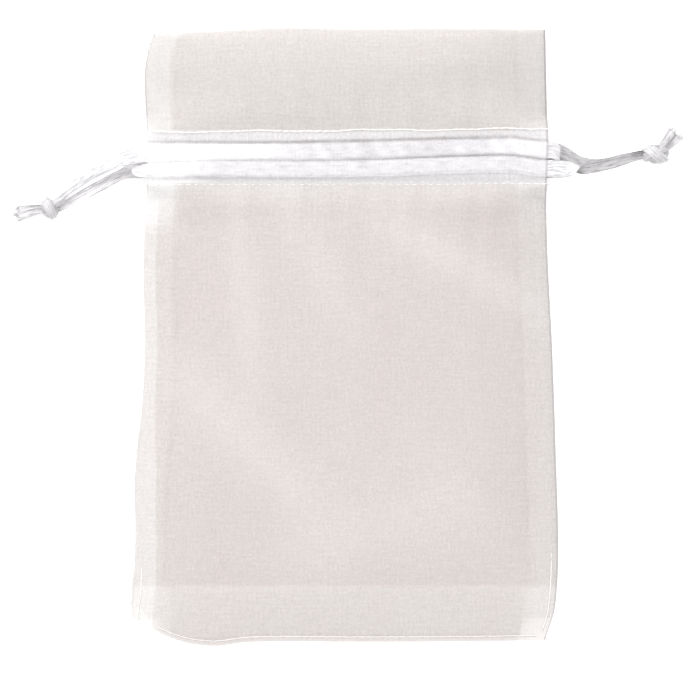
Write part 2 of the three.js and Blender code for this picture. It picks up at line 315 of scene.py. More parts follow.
# %% Satin and thread materials
def satin_face(name, low, high, lines, ribs, roughness, sheen):
    made, tree, shader = new_material(name, {"Sheen Weight": sheen})
    band_map = new_node(tree, "ShaderNodeUVMap", uv_map="cloth")
    group = new_node(tree, "ShaderNodeGroup", node_tree=satin)
    tree.links.new(band_map.outputs[0], group.inputs["Place"])
    group.inputs["Lines"].default_value = lines
    group.inputs["Ribs"].default_value = ribs
    colour = mix_colours(tree, group.outputs["Tone"], low, high)
    tree.links.new(colour, shader.inputs["Base Color"])
    rough = maths(tree, "MULTIPLY_ADD", group.outputs["Tone"], 0.12, roughness - 0.06)
    tree.links.new(rough, shader.inputs["Roughness"])
    add_bump(tree, shader, group.outputs["Height"], 0.3)
    return made


satin_bright = satin_face("satin face", (0.40, 0.39, 0.41), (0.71, 0.70, 0.72),
                          0.35, 0.08, 0.30, 0.1)
satin_dull = satin_face("satin back", (0.24, 0.23, 0.24), (0.48, 0.47, 0.48),
                        0.25, 0.60, 0.55, 0.2)
# A lit copy of the satin back: painted light for the left ribbon, which lies towards the
# light.
satin_back_lit = satin_face("satin back in the light", (0.45, 0.44, 0.455),
                            (0.80, 0.785, 0.80), 0.25, 0.75, 0.55, 0.25)
# A darker copy of the satin face: painted shade on the bunched ribbon of the knots and tails.
satin_bunched_shaded = satin_face("bunched satin", (0.32, 0.31, 0.32), (0.59, 0.58, 0.595),
                           0.35, 0.05, 0.35, 0.15)
thread, thread_tree, thread_shader = new_material("sewing thread", {"Roughness": 0.6})
thread_place = new_node(thread_tree, "ShaderNodeTexCoord")
thread_noise = new_node(thread_tree, "ShaderNodeTexNoise",
                        {"Vector": thread_place.outputs["Object"], "Scale": 2600.0,
                         "Detail": 2.0})
thread_tree.links.new(
    mix_colours(thread_tree, thread_noise.outputs[0], (0.66, 0.63, 0.62), (0.80, 0.77, 0.76)),
    thread_shader.inputs["Base Color"])
add_bump(thread_tree, thread_shader, thread_noise.outputs[0], 0.4)
table_finish = new_material("table top", {
    "Base Color": (0.88, 0.88, 0.88, 1), "Emission Color": (1, 1, 1, 1),
    "Emission Strength": 0.36, "Roughness": 0.9, "Specular IOR Level": 0.1})[0]
floor.data.materials.append(table_finish)
print("satin faces", satin_bright.name, satin_dull.name)

# %% [markdown]
# ## The ribbons
#
# Each drawstring is one loop of satin ribbon 4.2 mm wide. It starts at its knot, goes in
# at its own side, runs through the front casing, turns round the far side seam, comes
# back through the back casing and ends at the same knot. The two loops swap lanes as
# they turn. The band is a thin strip swept along that route, with its bright face on the
# outside of the loop.

# %% Routes of the two loops
RIBBON_WIDTH, RIBBON_THICKNESS = 4.2, 0.3
LOWER_LANE, UPPER_LANE, BACK_RUN_Z = 41.15, 45.65, 1.0
LEFT_ROUTE = [
    (-72.6, 32.4, 2.4), (-70.9, 33.8, 2.7), (-68.4, 36.2, 2.8), (-64.5, 39.0, 3.4),
    (-58.5, 42.0, 5.4), (-54.5, 43.8, 7.3), (-51.0, 44.5, 8.4), (-47.5, 44.7, 8.5),
    (-40.0, 45.05, 8.3), (-30.0, 45.2, 8.2), (-20.0, 45.22, 8.2), (0.0, 45.4, 8.2),
    (10.0, 45.72, 8.2), (20.0, 46.15, 8.2), (30.0, 46.53, 8.2), (40.0, 46.65, 8.2),
    (44.5, 46.2, 8.2), (49.2, 45.65, 8.2), (51.0, 45.65, 7.72), (52.3, 44.9, 6.4),
    (52.8, 43.4, 4.6), (52.3, 41.9, 2.8), (51.0, 41.15, 1.48),
    *((x, LOWER_LANE, BACK_RUN_Z) for x in (49.2, 40.0, 20.0, 0.0, -20.0, -40.0, -49.5)),
    (-53.5, 40.7, 0.9), (-57.0, 39.3, 0.8), (-61.0, 37.1, 0.7),
    (-66.8, 33.9, 0.8), (-70.6, 31.9, 1.0), (-72.4, 31.1, 1.5)]
RIGHT_ROUTE = [
    (75.0, 44.7, 2.6), (73.0, 44.5, 2.8), (69.5, 43.7, 2.9), (65.5, 42.6, 3.3),
    (61.0, 41.5, 4.2), (57.0, 40.9, 5.6), (53.5, 40.95, 7.2), (50.5, 41.1, 8.05),
    (48.0, 41.2, 8.2), (44.5, 41.7, 8.2), (40.0, 42.15, 8.2), (30.0, 42.03, 8.2),
    (20.0, 41.69, 8.2), (10.0, 41.25, 8.2), (0.0, 41.03, 8.2), (-20.0, 40.98, 8.2),
    (-30.0, 40.95, 8.15), (-40.0, 40.9, 8.0), (-49.2, 40.95, 7.95), (-51.0, 41.05, 7.5),
    (-52.3, 41.8, 6.3), (-52.8, 42.9, 4.6), (-52.3, 43.9, 2.9), (-51.0, 44.4, 1.75),
    (-49.2, 44.8, 1.5), (-45.0, 45.6, 1.2),
    *((x, UPPER_LANE, BACK_RUN_Z) for x in (-38.0, -20.0, 0.0, 20.0, 40.0, 49.5)),
    (52.5, 45.5, 1.0), (55.5, 44.5, 1.0),
    (58.5, 43.1, 1.0), (62.0, 42.4, 1.0), (66.0, 43.0, 1.0), (70.0, 44.1, 1.1),
    (73.0, 44.9, 1.3), (75.0, 45.1, 1.6)]


def smooth(t):
    t = min(max(t, 0.0), 1.0)
    return t * t * (3 - 2 * t)


def between(y, low, high, soft):
    """1 well inside two limits and 0 outside them, with a soft step just inside each."""
    return smooth((y - low) / soft) * smooth((high - y) / soft)


def lerp(a, b, t):
    return a + (b - a) * t


def hermite(t):
    """Weights of a start point, its slope, an end point and its slope."""
    return (2 * t**3 - 3 * t**2 + 1, t**3 - 2 * t**2 + t,
            -2 * t**3 + 3 * t**2, t**3 - t**2)


def curve_through(points, step):
    """A smooth line through the points, cut into short equal-looking steps."""
    knots = [Vector(p) for p in points]
    count = len(knots)
    line = []
    for i in range(count - 1):
        b, c = knots[i], knots[i + 1]
        a = knots[i - 1] if i else b * 2 - c
        d = knots[i + 2] if i + 2 < count else c * 2 - b
        # The tangents are scaled to the span, so that long spans don't loop at short ones.
        span = (c - b).length
        m1 = (c - a) / max((c - b).length + (b - a).length, 1e-6) * span
        m2 = (d - b) / max((d - c).length + (c - b).length, 1e-6) * span
        pieces = max(1, round(span / step))
        for k in range(pieces):
            h1, h2, h3, h4 = hermite(k / pieces)
            line.append(b * h1 + m1 * h2 + c * h3 + m2 * h4)
    return line + [knots[-1]]


def line_length(line):
    return sum((b - a).length for a, b in zip(line, line[1:]))


def distances_along(line):
    reach = [0.0]
    for a, b in zip(line, line[1:]):
        reach.append(reach[-1] + (b - a).length)
    return reach


def frames_along(line, width_hint=Vector((0, 1, 0))):
    """At each point: the direction, a sideways vector near width_hint and a facing one."""
    made = []
    for i, p in enumerate(line):
        before, after = line[max(i - 1, 0)], line[min(i + 1, len(line) - 1)]
        forward = (after - before).normalized()
        side = (width_hint - forward * width_hint.dot(forward)).normalized()
        made.append((p, forward, side, side.cross(forward)))
    return made


print("left loop", round(line_length(curve_through(LEFT_ROUTE, 1.0)), 1), "mm, right loop",
      round(line_length(curve_through(RIGHT_ROUTE, 1.0)), 1), "mm")


# %% Mesh helpers
def mesh_object(name, verts, faces, materials, face_materials=None, uvs=None):
    """A mesh in metres from points in millimetres, smooth shaded, with a cloth map."""
    mesh = bpy.data.meshes.new(name)
    mesh.from_pydata([Vector(v) * MM for v in verts], [], faces)
    for material in materials:
        mesh.materials.append(material)
    if face_materials:
        mesh.polygons.foreach_set("material_index", face_materials)
    if uvs:
        layer = mesh.uv_layers.new(name="cloth")
        for loop in mesh.loops:
            layer.data[loop.index].uv = uvs[loop.vertex_index]
    mesh.polygons.foreach_set("use_smooth", [True] * len(mesh.polygons))
    mesh.update()
    made = bpy.data.objects.new(name, mesh)
    bpy.context.scene.collection.objects.link(made)
    return made


def swept_band(reach, profile, frames, columns):
    """Verts, faces, face sides and cloth map of a thin band swept along a line.
    profile(i) gives the section at step i: the (sideways, facing) points of the outer
    face and those of the inner face, left to right."""
    verts, uvs, faces, sides = [], [], [], []
    ring, last = 2 * columns, len(frames) - 1
    for i, (p, forward, side, facing) in enumerate(frames):
        outer, inner = profile(i)
        for a, b in outer + inner[::-1]:
            verts.append(p + side * a + facing * b)
            uvs.append((reach[i], a))
    for i in range(last):
        for k in range(ring):
            m = (k + 1) % ring
            faces.append((i * ring + k, i * ring + m, (i + 1) * ring + m, (i + 1) * ring + k))
            sides.append(1 if columns <= k < ring - 1 else 0)
    faces += [tuple(range(ring))[::-1], tuple(last * ring + k for k in range(ring))]
    return verts, faces, sides + [0, 0], uvs


# %% The two ribbon loops
BAND_COLUMNS, BAND_STEP = 9, 0.9
KNOT_WIDTH, STRAND_WIDTH = 0.42, 0.64  # shares of the full width
TABLE_REACH, TABLE_GAP = 0.7, 0.12


def above_table(z):
    """Ribbon that would dip into the table is pressed flat on to it instead."""
    soft = TABLE_REACH - TABLE_GAP
    return z if z > TABLE_REACH else TABLE_GAP + soft * math.exp((z - TABLE_REACH) / soft)


def ribbon_loop(name, route, twists, seed, out):
    """The band of one drawstring. twists is a list of (distance, degrees) along it: the
    strands outside the pouch turn over a little, as a loose ribbon does. out is 1 or -1,
    the way that the strands cup, and it puts the bright face on that side."""
    line = curve_through(route, BAND_STEP)
    reach = distances_along(line)
    total, turned = line_length(line), []
    chance = random.Random(seed)
    phases = [chance.uniform(0, math.tau) for _ in range(4)]
    for distance, (p, forward, side, facing) in zip(reach, frames_along(line)):
        angle = 0.0
        for (d0, a0), (d1, a1) in zip(twists, twists[1:]):
            if d0 <= distance <= d1:
                angle = math.radians(lerp(a0, a1, smooth((distance - d0) / (d1 - d0))))
        turn = Matrix.Rotation(angle, 3, forward)
        turned.append((p, forward, turn @ side, turn @ facing))

    def profile(i):
        to_knot = min(reach[i], total - reach[i])
        narrow = lerp(KNOT_WIDTH, STRAND_WIDTH, smooth(to_knot / 9.0))
        narrow = lerp(narrow, 1.0, smooth((to_knot - 18.0) / 6.0))
        loose = smooth((22.0 - to_knot) / 6.0)
        cup = 0.25 * loose + 1.1 * (1 - narrow)
        half = RIBBON_WIDTH / 2 * narrow
        faces = ([], [])
        for k in range(BAND_COLUMNS):
            a = 2 * k / (BAND_COLUMNS - 1) - 1
            fold = out * cup * (1 - a * a)
            fold += (1 - narrow) * 0.5 * math.sin(a * 7 + reach[i] * 0.6 + phases[0])
            fold += 0.05 * loose * math.sin(reach[i] * 0.9 + a * 2 + phases[1])
            fold += 0.05 * math.sin(reach[i] * 1.7 + a * 3 + phases[2]) * math.sin(
                reach[i] * 0.43 + phases[3])
            thick = RIBBON_THICKNESS / 2 * (0.75 if abs(a) == 1 else 1.0)
            faces[0].append((a * half, -fold - thick))
            faces[1].append((a * half, -fold + thick))
        return faces

    verts, quads, sides, uvs = swept_band(reach, profile, turned, BAND_COLUMNS)
    for v in verts:
        v.z = above_table(v.z)
    # The left loop's back gets the copy with painted light.
    faces = [satin_bright, satin_back_lit] if out > 0 else [satin_dull, satin_bright]
    made = mesh_object(name, verts, quads, faces, sides, uvs)
    return made, line


left_ribbon, left_line = ribbon_loop(
    "left_ribbon_band", LEFT_ROUTE,
    [(0, 20), (8, 25), (20, 0), (236, 0), (246, -20), (262, -10)], 3, 1)
right_total = line_length(curve_through(RIGHT_ROUTE, BAND_STEP))
right_ribbon, right_line = ribbon_loop(
    "right_ribbon_band", RIGHT_ROUTE,
    [(0, 165), (16, 176), (22, 0), (right_total - 26, 0), (right_total - 18, -30),
     (right_total - 9, 20), (right_total, 10)], 8, -1)
print("ribbon bands have", len(left_ribbon.data.polygons), "faces each")

# %% [markdown]
# ## The knots and cut tails
#
# Each loop is closed by an overhand knot. Pulled tight it is a small lump of bunched
# ribbon with a turn or two lying over it, so bands of pleated ribbon are wrapped on a
# crumpled core. Beyond the knot the two cut ends fan out and fray into filaments.

# %% Overhand knots
LEFT_KNOT, LEFT_KNOT_SIZE = (-73.4, 31.5, 2.25), (4.4, 5.9, 4.2)
RIGHT_KNOT, RIGHT_KNOT_SIZE = (76.6, 44.9, 2.25), (7.0, 5.0, 4.2)


WRAP_STEPS, WRAP_THICKNESS = 72, 0.13  # the thickness is a share of the knot's radius


def draped_band(centre, radii, axis, scale, half_width, phase):
    """A band of ribbon wrapped round a small egg shape: its verts, faces and cloth map.
    axis is the line that the band goes round, and scale lifts it over what it covers."""
    axis = Vector(axis).normalized()
    first = axis.orthogonal().normalized()
    second = axis.cross(first)
    verts, faces, uvs = [], [], []
    across = [2 * k / (BAND_COLUMNS - 1) - 1 for k in range(BAND_COLUMNS)]
    for i in range(WRAP_STEPS + 1):
        t = phase + math.tau * i / WRAP_STEPS
        for sign, sunk in ((1, 0.0), (-1, WRAP_THICKNESS)):
            for a in across:
                a *= sign
                direction = (first * math.cos(t) + second * math.sin(t)
                             + axis * (a * half_width)).normalized()
                pleat = 1 + 0.025 * math.sin(a * 4.5 + 1.2 * math.sin(2 * t + phase))
                edge = 1 - 0.10 * abs(a) ** 3
                lift = scale * pleat * edge - sunk
                verts.append(Vector(centre) + Vector(
                    [direction[n] * radii[n] * lift for n in range(3)]))
                uvs.append((t * 2.2, a * 1.6))
    ring = 2 * BAND_COLUMNS
    for i in range(WRAP_STEPS):
        for k in range(ring):
            m = (k + 1) % ring
            faces.append((i * ring + k, (i + 1) * ring + k, (i + 1) * ring + m, i * ring + m))
    faces.append(tuple(range(ring)))
    faces.append(tuple(WRAP_STEPS * ring + k for k in range(ring))[::-1])
    return verts, faces, uvs


def overhand_knot(name, centre, size, bands):
    """A pulled-tight knot: bands of ribbon wrapped over one another on a bunched core.
    bands is a list of (axis, scale, half width, phase, material number)."""
    radii = [n / 2 for n in size]
    verts, faces, sides, uvs = [], [], [], []
    bpy.ops.object.select_all(action="DESELECT")
    bpy.ops.mesh.primitive_ico_sphere_add(subdivisions=3, radius=1.0)
    core = bpy.context.object
    for v in core.data.vertices:
        crumple = 0.86 + 0.05 * math.sin(7 * v.co.x + 4 * v.co.y) * math.cos(6 * v.co.z)
        verts.append(Vector(centre) + Vector(
            [v.co[n] * radii[n] * crumple for n in range(3)]))
        uvs.append((v.co.x * 2, v.co.y * 2))
    faces += [tuple(p.vertices) for p in core.data.polygons]
    sides += [1] * len(faces)
    bpy.data.objects.remove(core)
    for axis, scale, half_width, phase, finish in bands:
        band_verts, band_faces, band_uvs = draped_band(centre, radii, axis, scale,
                                                       half_width, phase)
        faces += [tuple(len(verts) + k for k in f) for f in band_faces]
        sides += [finish] * len(band_faces)
        verts += band_verts
        uvs += band_uvs
    low = [min(v[n] for v in verts) for n in range(3)]
    high = [max(v[n] for v in verts) for n in range(3)]
    verts = [[centre[n] + ((v[n] - low[n]) / (high[n] - low[n]) - 0.5) * size[n]
              for n in range(3)] for v in verts]
    made = mesh_object(name, verts, faces, [satin_bunched_shaded, satin_dull, satin_bright], sides,
                       uvs)
    bpy.ops.object.select_all(action="DESELECT")
    bpy.context.view_layer.objects.active = made
    made.select_set(True)
    bpy.ops.object.mode_set(mode="EDIT")
    bpy.ops.mesh.select_all(action="SELECT")
    bpy.ops.mesh.normals_make_consistent(inside=False)
    bpy.ops.object.mode_set(mode="OBJECT")
    bpy.ops.object.modifier_add(type="SUBSURF")
    made.modifiers[-1].levels = made.modifiers[-1].render_levels = 1
    bpy.ops.object.modifier_apply(modifier=made.modifiers[-1].name)
    return made


left_knot = overhand_knot("left_overhand_knot", LEFT_KNOT, LEFT_KNOT_SIZE, [
    ((0.55, 0.80, 0.0), 1.0, 0.62, 0.4, 1),
    ((0.85, 0.50, 0.0), 1.07, 0.50, 0.0, 0)])
right_knot = overhand_knot("right_overhand_knot", RIGHT_KNOT, RIGHT_KNOT_SIZE, [
    ((0.95, 0.30, 0.0), 1.0, 0.75, 0.0, 1),
    ((0.80, 0.58, 0.0), 1.08, 0.55, 0.0, 0),
    ((0.62, -0.78, 0.0), 1.00, 0.35, 0.0, 1)])
print("knot faces", len(left_knot.data.polygons))


# %% Cut tails
TAIL_HALF_THICKNESS = 0.12
FRINGE_FILAMENTS, FILAMENT_RINGS = 15, 5


def cut_tail(name, points, widths, slant, seed, bright=0):
    """A short end of ribbon that opens out from the knot and frays at its slanted cut."""
    line = curve_through(points, 0.35)
    run = line[-1] - line[0]
    frames = frames_along(line, Vector((0, 1, 0) if abs(run.x) > abs(run.y)
                                       else (-1, 0.6, 0)))
    total, reach, chance = line_length(line), distances_along(line), random.Random(seed)

    def profile(i):
        t = reach[i] / total
        half = lerp(widths[0], widths[1], smooth(t)) / 2
        faces = ([], [])
        for k in range(BAND_COLUMNS):
            a = 2 * k / (BAND_COLUMNS - 1) - 1
            fold = 0.5 * (1 - t) * (1 - a * a) + 0.22 * math.sin(a * 5 + seed) * (1 - 0.5 * t)
            faces[0].append((a * half, -fold - TAIL_HALF_THICKNESS))
            faces[1].append((a * half, -fold + TAIL_HALF_THICKNESS))
        return faces

    verts, quads, sides, uvs = swept_band(reach, profile, frames, BAND_COLUMNS)
    ring = BAND_COLUMNS * 2
    # The cut: the last rings are pushed back on one side, so that the end is slanted.
    for i in range(len(line)):
        for k in range(ring):
            a = 2 * (k if k < BAND_COLUMNS else ring - 1 - k) / (BAND_COLUMNS - 1) - 1
            back = slant * (a + 1) / 2 * smooth((reach[i] / total - 0.35) / 0.65)
            verts[i * ring + k] = verts[i * ring + k] - frames[i][1] * back
    p, forward, side, facing = frames[-1]
    for n in range(FRINGE_FILAMENTS):
        a = chance.uniform(-1, 1)
        root = p + side * (a * widths[1] / 2) - facing * 0.1 - forward * (
            slant * (a + 1) / 2 + 0.3)
        reach_out = chance.uniform(0.7, 1.9)
        bend = side * chance.uniform(-0.5, 0.5) + Vector((0, 0, -chance.uniform(0, 0.2)))
        start = len(verts)
        for m in range(FILAMENT_RINGS):
            t = m / (FILAMENT_RINGS - 1)
            q = root + forward * (reach_out * t) + bend * (t * t)
            q.z = max(q.z, TABLE_GAP)
            r = lerp(0.10, 0.04, t)
            for c, s in ((1, 0), (0, 1), (-1, 0), (0, -1)):
                verts.append(q + side * (c * r) + facing * (s * r))
                uvs.append((total + t * reach_out, a * 2))
        for m in range(FILAMENT_RINGS - 1):
            for k in range(4):
                b = start + m * 4
                quads.append((b + k, b + (k + 1) % 4, b + 4 + (k + 1) % 4, b + 4 + k))
                sides.append(0)
        quads.append((start + 3, start + 2, start + 1, start))
        quads.append((start + 16, start + 17, start + 18, start + 19))
        sides += [0, 0]
    sides = [bright if s == 0 else 1 - bright for s in sides]
    made = mesh_object(name, verts, quads, [satin_bunched_shaded, satin_dull], sides, uvs)
    return made


left_tails = [
    cut_tail("left_tail_lower", [(-74.6, 31.6, 1.6), (-76.6, 31.5, 1.2), (-79.0, 31.2, 0.8),
                                 (-81.4, 30.9, 0.5)], (1.6, 2.6), 0.5, 5,
             bright=1),
    cut_tail("left_tail_upper", [(-74.4, 31.0, 2.9), (-76.4, 30.8, 2.5), (-79.0, 30.2, 2.0),
                                 (-80.8, 29.6, 1.6)], (1.4, 2.2), -0.6, 6, bright=1)]
right_tails = [
    cut_tail("right_tail_lower", [(77.6, 45.6, 1.4), (79.6, 47.0, 1.1), (81.2, 48.4, 0.7),
                                  (82.6, 49.6, 0.5)], (1.8, 2.4), 0.6, 7),
    cut_tail("right_tail_upper", [(77.4, 46.0, 2.9), (78.7, 47.6, 2.5), (79.7, 49.1, 2.1),
                                  (80.6, 50.6, 1.7)], (1.6, 2.2), -0.5, 9)]
print("tails", [t.name for t in left_tails + right_tails])

for side, ribbon, line, knot, tails, way_out in (
        ("left", left_ribbon, left_line, left_knot, left_tails, (-0.0495, 0.04565, 0.0082)),
        ("right", right_ribbon, right_line, right_knot, right_tails,
         (0.0495, 0.04115, 0.0082))):
    body = side + "_drawstring"
    for piece in (ribbon, knot, *tails):
        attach(piece, body)
    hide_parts(side + "_ribbon")
    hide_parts(side + "_knot")
    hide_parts(side + "_lower_tail")
    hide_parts(side + "_upper_tail")

# %% [markdown]
# ## The cloth
#
# The pouch is cut from soft cloth, so no edge is quite straight. The side edges, the mouth
# and the bottom are smooth lines through a few measured widths. Each layer starts as a flat
# grid of cloth with its own flat map, and every point is then lifted to where that layer
# lies: the front arches over the ribbons and comes down to the back at the side seams, which
# open only where the ribbons leave the casing. Where several layers lie together a pale value
# lightens the cloth, and on the folds the same value paints sheen.

# %% Edges of the pouch
LOWER_STITCH, UPPER_STITCH = 37.6, 50.5
MOUTH, BOTTOM = 76.0, -76.0
SLIT_Y = 44.0
LEFT_EDGE = [(-77.0, -53.3), (-69.0, -53.2), (-63.0, -52.5), (-52.0, -52.3),
             (-42.0, -52.5), (-31.0, -51.8), (-21.0, -50.7), (-3.6, -49.9),
             (16.0, -50.3), (28.6, -49.8), (38.0, -49.2), (47.0, -49.1), (60.0, -49.8),
             (70.0, -49.7), (76.0, -47.6)]
RIGHT_EDGE = [(-77.0, 49.1), (-74.5, 49.8), (-68.0, 51.8), (-54.0, 52.6),
              (-33.4, 52.1), (-3.6, 51.1), (21.0, 49.9), (38.6, 49.6), (48.0, 49.9),
              (60.0, 49.7), (76.0, 49.4)]
BOTTOM_EDGE = [(-54.0, -68.6), (-51.5, -70.6), (-47.0, -73.3), (-40.0, -76.0),
               (-32.5, -76.9), (-25.0, -76.0), (-15.0, -75.8), (10.0, -75.9),
               (49.4, -75.5), (53.0, -75.0)]
MOUTH_EDGE = [(-50.0, 72.6), (-47.4, 74.3), (-40.0, 74.9), (-28.0, 75.5), (-15.6, 76.1),
              (1.0, 75.8), (25.0, 75.9), (50.0, 75.8)]


def along(edge, at):
    """The smooth value of an edge, a rising list of (position, value), at a position."""
    at = min(max(at, edge[0][0]), edge[-1][0])
    i = max(k for k in range(len(edge) - 1) if edge[k][0] <= at or k == 0)
    (x0, y0), (x1, y1) = edge[i], edge[i + 1]
    slope = (y1 - y0) / (x1 - x0)
    before = slope if i == 0 else (y1 - edge[i - 1][1]) / (x1 - edge[i - 1][0])
    after = slope if i + 2 == len(edge) else (edge[i + 2][1] - y0) / (edge[i + 2][0] - x0)
    h1, h2, h3, h4 = hermite((at - x0) / (x1 - x0))
    return y0 * h1 + before * (x1 - x0) * h2 + y1 * h3 + after * (x1 - x0) * h4


def side_edge(side, y):
    return along(LEFT_EDGE if side == "left" else RIGHT_EDGE, y)


print("widths", [round(side_edge("right", y) - side_edge("left", y), 1)
                 for y in (76, 44, 0, -60)])

# %% Heights of the layers
LANE_MIDDLE = (LOWER_LANE + UPPER_LANE) / 2
LANE_RISE, LANE_DROP = 1.0, 0.35


def lane_shift(x):
    """The ribbons ride up a little in their casing on the way to the right side."""
    rise = LANE_RISE * smooth(x / 38.0) * (1 - smooth((x - 40.0) / 9.0))
    return rise - LANE_DROP * (1 - smooth((x + 22.0) / 40.0))


SEAM_Z, BACK_Z, BACK_INNER_Z = 0.9, 0.27, 1.05
FRONT_Z, FRONT_INNER_Z, MOUTH_DROP = 8.05, 7.5, 2.2
CASING_Z, FACING_Z, BACK_FACING_Z = 8.95, 7.45, 1.75  # over and under the two ribbons


def bump_at(x, centre, width):
    return math.exp(-(((x - centre) / width) ** 2))


FOLDS = (((30, 16), (0.87, -0.49), 5.0, 0.55), ((-24, -27), (0.71, -0.70), 6.5, 0.5),
         ((-25, 12), (0.10, -1.0), 4.0, 0.45), ((4, -50), (0.95, 0.30), 8.0, 0.35),
         ((28, -40), (0.60, -0.80), 6.0, 0.2), ((-8, 20), (0.45, -0.90), 4.5, 0.3),
         ((20, 66), (0.98, 0.18), 4.0, 0.25), ((-25, 62), (0.99, -0.10), 3.5, 0.25))


def fold_height(x, y):
    """The broad soft folds, each a long low ridge."""
    total = 0.0
    for (px, py), (dx, dy), wide, tall in FOLDS:
        off = (x - px) * dy - (y - py) * dx
        on = (x - px) * dx + (y - py) * dy
        total += tall * math.exp(-((off / wide) ** 2) - (on / 26.0) ** 4)
    return total


def ripple(x, y):
    """Small folds of the cloth, from 0 to about 1 mm, the same in every layer."""
    near_neck = math.exp(-max(0.0, LOWER_STITCH - y) / 13.0) if y < LOWER_STITCH else (
        math.exp(-max(0.0, y - UPPER_STITCH) / 11.0))
    pleats = 0.20 * math.sin(x * 0.92 + 0.6 * math.sin(y * 0.11)) + 0.16 * math.sin(
        x * 0.47 + 1.3)
    broad = 0.22 * math.sin(x * 0.11 + y * 0.06 + 0.5) + 0.18 * math.sin(
        x * 0.07 - y * 0.10 + 2.0) + 0.10 * math.sin(x * 0.21 + y * 0.17)
    folds = fold_height(x, y)
    return near_neck * pleats + broad + folds


def layer_height(layer, side, x, y, down=0.0):
    """Height of the middle of a layer at a point of the flat cloth. down runs from 0 at
    the lower stitching to 1 at the bottom seam."""
    across = min(1.0, abs(x / side_edge(side, y)))
    from_slit = max(0.0, y - UPPER_STITCH, LOWER_STITCH - y)
    power = lerp(4, 12, max(0.0, 1 - from_slit / 12) ** 2)
    gap = smooth(1 - (from_slit - 0.3) / 4.0)
    rise = ((1 - across**power) * (1 - gap) + gap) * (1 - down**6)
    inside = smooth((1 - across) / 0.12) * (1 - down**4)
    at_mouth = smooth((MOUTH - y) / 10.0) if y > UPPER_STITCH else 1.0
    soft = ripple(x, y) * inside
    near_row = smooth(from_slit / 5.0)
    if layer == "front":
        top = FRONT_Z + 0.45 * near_row - MOUTH_DROP * (1 - at_mouth)
        top -= 1.4 * smooth(down * 1.4)
        return SEAM_Z + (top - SEAM_Z) * rise + soft * (0.35 + 0.65 * near_row)
    if layer == "front_inner":
        top = FRONT_INNER_Z + 0.1 * near_row - MOUTH_DROP * (1 - at_mouth)
        return SEAM_Z + (top - SEAM_Z) * rise + soft * (0.35 + 0.65 * near_row) - 0.15
    if layer == "front_casing":
        flat = min(smooth((y - LOWER_STITCH) / 1.7), smooth((UPPER_STITCH - y) / 3.4))
        dip = 0.20 * bump_at(y, LANE_MIDDLE + lane_shift(x), 0.7) * inside
        dip *= 0.2 + 0.8 * smooth((x + 44) / 30)
        crinkle = 0.05 * math.sin(x * 1.9 + y * 0.8) * flat + 0.04 * math.sin(x * 3.7 - y)
        return lerp(FRONT_Z, CASING_Z, flat) - dip + 0.35 * soft + crinkle * inside
    if layer == "front_facing":
        return FACING_Z + 0.35 * soft * (1 - smooth(min(
            y - LOWER_STITCH, UPPER_STITCH - y) / 3))
    if layer == "back":
        return SEAM_Z + (BACK_Z - SEAM_Z) * rise + 0.04 * inside * (1 + math.sin(x * 0.8))
    if layer == "back_inner":
        return (SEAM_Z + 0.05 + (BACK_INNER_Z - SEAM_Z) * rise
                + 0.10 * inside * math.sin(x * 0.5 + y * 0.3))
    if layer == "back_facing":
        return lerp(1.1, BACK_FACING_Z, min(smooth((y - LOWER_STITCH) / 1.7),
                                   smooth((UPPER_STITCH - y) / 1.7)))
    raise ValueError(layer)


print("front height at the middle", round(layer_height("front", "left", 0, 0, 0.3), 2), "mm")


# %% Grids of cloth
def cloth_grid(name, columns, rows, place, material, painted_shades=None, pales=None):
    """A flat grid primitive whose points are moved by place(u, v), which gives the point
    and its place on the flat cloth, both in millimetres."""
    bpy.ops.object.select_all(action="DESELECT")
    bpy.ops.mesh.primitive_grid_add(x_subdivisions=columns, y_subdivisions=rows, size=2.0,
                                    location=(0, 0, 0))
    made = bpy.context.object
    made.name = made.data.name = name
    mesh = made.data
    flat = []
    for vertex in mesh.vertices:
        u, v = (vertex.co.x + 1) / 2, (vertex.co.y + 1) / 2
        point, on_cloth = place(u, v)
        vertex.co = Vector(point) * MM
        flat.append(on_cloth)
    while mesh.uv_layers:
        mesh.uv_layers.remove(mesh.uv_layers[0])
    layer = mesh.uv_layers.new(name="cloth")
    for loop in mesh.loops:
        layer.data[loop.index].uv = flat[loop.vertex_index]
    # These attributes hold the painted shade and the pale values, which lighten layered cloth
    # and paint light and sheen.
    for label, amount in (("painted_shade", painted_shades), ("pale", pales)):
        if amount:
            values = mesh.attributes.new(label, "FLOAT", "POINT")
            values.data.foreach_set("value", [amount(*spot) for spot in flat])
    mesh.materials.append(material)
    mesh.polygons.foreach_set("use_smooth", [True] * len(mesh.polygons))
    mesh.update()
    return made


def blend_cloth(piece):
    """Bakes the piece's placement into its mesh."""
    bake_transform(piece)


def declare_cloth(piece, node):
    blend_cloth(piece)
    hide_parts(node)


